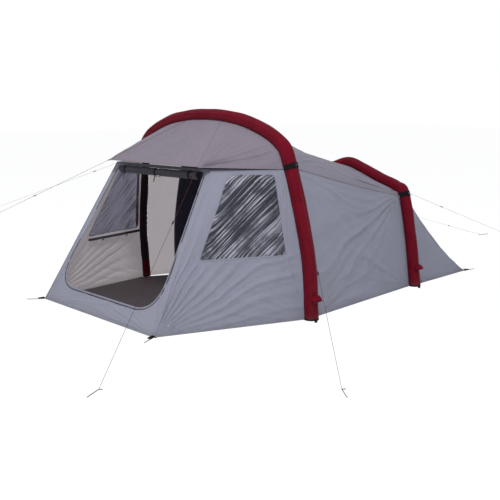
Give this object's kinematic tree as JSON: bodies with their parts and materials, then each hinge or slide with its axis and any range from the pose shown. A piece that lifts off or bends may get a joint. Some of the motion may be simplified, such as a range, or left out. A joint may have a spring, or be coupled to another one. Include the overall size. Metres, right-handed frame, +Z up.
{
  "type": "inflatable tunnel tent",
  "caption": "Inflatable camping tent with two curved air beams, a sloping porch with a round-cornered open door, side windows, a canopy, a sleeping cabin and a sloping rear end.",
  "frame": {"origin": "on the ground midway between the feet of the front arch, under the porch floor", "axes": "+X to the right seen from the door, +Y from the door to the sleeping end, +Z up"},
  "size_m": [6.0136, 8.4589, 1.9198],
  "materials": {
    "fly_cloth": "light blue-grey coated polyester",
    "canopy_cloth": "mid grey coated polyester",
    "sleeve_cloth": "dark red polyester sleeve",
    "bladder_film": "clear welded film",
    "webbing": "black woven tape",
    "hard_plastic": "black moulded plastic",
    "window_film": "clear window film",
    "inner_cloth": "navy breathable polyester",
    "lining_cloth": "dark grey curtain cloth",
    "groundsheet": "dark woven groundsheet",
    "zip_tape": "black zip tape and coil",
    "zip_metal": "grey metal slider",
    "peg_steel": "bent steel wire",
    "guy_cord": "braided cord"
  },
  "bodies": {
    "tent": {"canopy_side_left": "canopy_cloth", "canopy_side_right": "canopy_cloth", "canopy_top": "canopy_cloth", "corner_peg_front_left": "peg_steel", "corner_peg_front_right": "peg_steel", "corner_peg_rear_left": "peg_steel", "corner_peg_rear_right": "peg_steel", "curtain_roll_left": "lining_cloth", "curtain_roll_right": "lining_cloth", "door_roll": "fly_cloth", "door_tie_left": "webbing", "door_tie_middle": "webbing", "door_tie_right": "webbing", "door_zip": "zip_tape", "fly_roof": "canopy_cloth", "fly_wall_left": "fly_cloth", "fly_wall_right": "fly_cloth", "front_air_bladder": "bladder_film", "front_beam_sleeve": "sleeve_cloth", "front_strap_left": "webbing", "front_strap_right": "webbing", "front_valve": "hard_plastic", "front_valve_hood": "sleeve_cloth", "guy_front_left": "guy_cord", "guy_front_right": "guy_cord", "guy_peg_front_right": "peg_steel", "guy_peg_rear_left": "peg_steel", "guy_peg_side_right": "peg_steel", "guy_rear_left": "guy_cord", "guy_rear_right": "guy_cord", "guy_side_left": "guy_cord", "guy_side_right": "guy_cord", "inner_canopy": "inner_cloth", "inner_floor": "groundsheet", "inner_front_wall": "inner_cloth", "porch_front_panel": "fly_cloth", "porch_groundsheet": "groundsheet", "porch_wall_left": "fly_cloth", "porch_wall_right": "fly_cloth", "rear_air_bladder": "bladder_film", "rear_beam_sleeve": "sleeve_cloth", "rear_end_panel": "fly_cloth", "rear_strap_left": "webbing", "rear_strap_right": "webbing", "rear_valve": "hard_plastic", "rear_valve_hood": "sleeve_cloth", "window_left": "window_film", "window_right": "window_film"},
    "front_cap": {"front_valve_cap": "hard_plastic"},
    "rear_cap": {"rear_valve_cap": "hard_plastic"},
    "slider": {"zip_slider": "zip_metal"},
    "pull": {"zip_pull": "hard_plastic"},
    "runner_front_left": {"runner_front_left": "hard_plastic"},
    "runner_front_right": {"runner_front_right": "hard_plastic"},
    "runner_rear_left": {"runner_rear_left": "hard_plastic"},
    "runner_rear_right": {"runner_rear_right": "hard_plastic"},
    "runner_side_left": {"runner_side_left": "hard_plastic"},
    "runner_side_right": {"runner_side_right": "hard_plastic"}
  },
  "joints": [
    {"name": "front_cap_hinge", "type": "hinge", "parent": "tent", "child": "front_cap", "pos_m": [1.50102, -0.01082, 0.17129], "axis": [0.0003, 0.998, 0.0629], "range_deg": [0, 150]},
    {"name": "rear_cap_hinge", "type": "hinge", "parent": "tent", "child": "rear_cap", "pos_m": [1.08121, 1.906, 0.18203], "axis": [0, 1, 0], "range_deg": [0, 150]},
    {"name": "slider_slide", "type": "slide", "parent": "tent", "child": "slider", "axis": [0.1245, -0.4917, -0.8618], "range_m": [-0.12, 0.78]},
    {"name": "pull_hinge", "type": "hinge", "parent": "slider", "child": "pull", "pos_m": [0.77488, -0.80294, 1.19012], "axis": [-0.9922, -0.0617, -0.1081], "range_deg": [0, 150]},
    {"name": "runner_front_right_slide", "type": "slide", "parent": "tent", "child": "runner_front_right", "axis": [0.4656, -0.6856, -0.5596], "range_m": [-0.4, 0.6]},
    {"name": "runner_front_left_slide", "type": "slide", "parent": "tent", "child": "runner_front_left", "axis": [-0.6484, -0.6345, -0.4207], "range_m": [-0.5, 0.35]},
    {"name": "runner_side_right_slide", "type": "slide", "parent": "tent", "child": "runner_side_right", "axis": [0.6921, -0.4539, -0.5612], "range_m": [-0.6, 0.6]},
    {"name": "runner_side_left_slide", "type": "slide", "parent": "tent", "child": "runner_side_left", "axis": [-0.7534, -0.5685, -0.3303], "range_m": [-0.3, 0.8]},
    {"name": "runner_rear_right_slide", "type": "slide", "parent": "tent", "child": "runner_rear_right", "axis": [-0.0305, 0.9481, -0.3166], "range_m": [-0.3, 0.8]},
    {"name": "runner_rear_left_slide", "type": "slide", "parent": "tent", "child": "runner_rear_left", "axis": [0.0216, 0.9649, -0.2616], "range_m": [-0.9, 0.5]}
  ]
}
